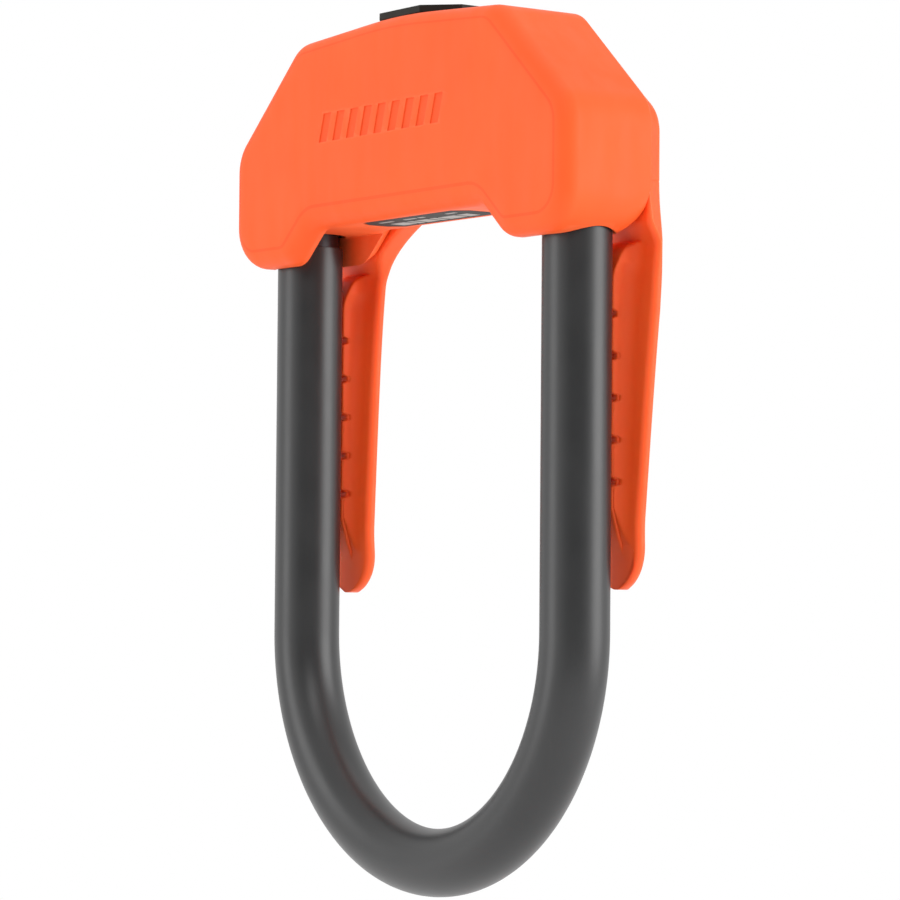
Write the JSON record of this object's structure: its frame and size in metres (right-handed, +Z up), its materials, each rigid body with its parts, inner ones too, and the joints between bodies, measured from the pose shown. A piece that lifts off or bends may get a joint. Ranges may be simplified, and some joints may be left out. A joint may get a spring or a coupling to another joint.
{
  "type": "u lock",
  "caption": "Compact U lock with a moulded casing over a steel crossbar, a sleeved U shackle, rear belt clips and a disc cylinder driving opposed deadbolts.",
  "frame": {"origin": "middle of the flat plate set in the crossbar's underside, where the inner length of the shackle is measured from", "axes": "+Z up through the crossbar towards the keyhole, the shackle hangs along -Z, X runs along the crossbar, +Y points to the belt clips and -Y is the plain front"},
  "size_m": [0.11, 0.0263, 0.1703],
  "materials": {
    "orange_plastic": "fine satin moulded texture",
    "black_plastic": "satin moulded",
    "label_plate": null,
    "grey_sleeve": "satin dark grey sleeve",
    "hardened_steel": "oiled, dark",
    "plated_steel": "zinc plated",
    "brass": "machined",
    "zinc": "die cast"
  },
  "bodies": {
    "crossbar": {"front_casing": "orange_plastic", "rear_cover": "orange_plastic", "underside_plate": "label_plate", "keyhole_bezel": "black_plastic", "leg_bush_left": "black_plastic", "leg_bush_right": "black_plastic", "crossbar_tube": "hardened_steel", "end_plate_left": "hardened_steel", "end_plate_right": "hardened_steel", "bolt_guide_left": "zinc", "bolt_guide_right": "zinc", "cylinder_housing": "brass", "rear_screw_1": "plated_steel", "rear_screw_2": "plated_steel", "rear_screw_3": "plated_steel", "rear_screw_4": "plated_steel"},
    "shackle": {"shackle_bar": "hardened_steel", "shackle_sleeve": "grey_sleeve"},
    "key_rotor": {"rotor": "brass", "guard_disc": "hardened_steel", "drive_cam": "plated_steel", "sidebar": "plated_steel", "detainer_disc_1": "brass", "detainer_disc_2": "brass", "detainer_disc_3": "brass", "detainer_disc_4": "brass", "detainer_disc_5": "brass", "detainer_disc_6": "brass", "disc_spacer_1": "plated_steel", "disc_spacer_2": "plated_steel", "disc_spacer_3": "plated_steel", "disc_spacer_4": "plated_steel", "disc_spacer_5": "plated_steel"},
    "left_bolt": {"deadbolt_left": "plated_steel"},
    "right_bolt": {"deadbolt_right": "plated_steel"},
    "shutter": {"dust_cover": "black_plastic"},
    "left_clip": {"belt_clip_left": "orange_plastic"},
    "right_clip": {"belt_clip_right": "orange_plastic"}
  },
  "joints": [
    {"name": "shackle_slide", "type": "slide", "parent": "crossbar", "child": "shackle", "axis": [0, 0, -1], "range_m": [0, 0.05]},
    {"name": "rotor_turn", "type": "hinge", "parent": "crossbar", "child": "key_rotor", "pos_m": [-0.006, 0, 0.02], "axis": [0, 0, 1], "range_deg": [0, 92]},
    {"name": "left_bolt_slide", "type": "slide", "parent": "crossbar", "child": "left_bolt", "axis": [-1, 0, 0], "range_m": [0, 0.0041]},
    {"name": "right_bolt_slide", "type": "slide", "parent": "crossbar", "child": "right_bolt", "axis": [1, 0, 0], "range_m": [0, 0.004]},
    {"name": "shutter_slide", "type": "slide", "parent": "crossbar", "child": "shutter", "axis": [1, 0, 0], "range_m": [0, 0.0083]},
    {"name": "left_clip_flex", "type": "hinge", "parent": "crossbar", "child": "left_clip", "pos_m": [-0.044, 0.0143, 0.0037], "axis": [1, 0, 0], "range_deg": [0, 6], "stiffness_Nm_per_rad": 6},
    {"name": "right_clip_flex", "type": "hinge", "parent": "crossbar", "child": "right_clip", "pos_m": [0.044, 0.0143, 0.0037], "axis": [1, 0, 0], "range_deg": [0, 6], "stiffness_Nm_per_rad": 6}
  ],
  "couplings": [
    {"joint": "rotor_turn", "follows": "right_bolt_slide", "rad_per_m": 392.7},
    {"joint": "left_bolt_slide", "follows": "right_bolt_slide", "ratio": 1}
  ]
}
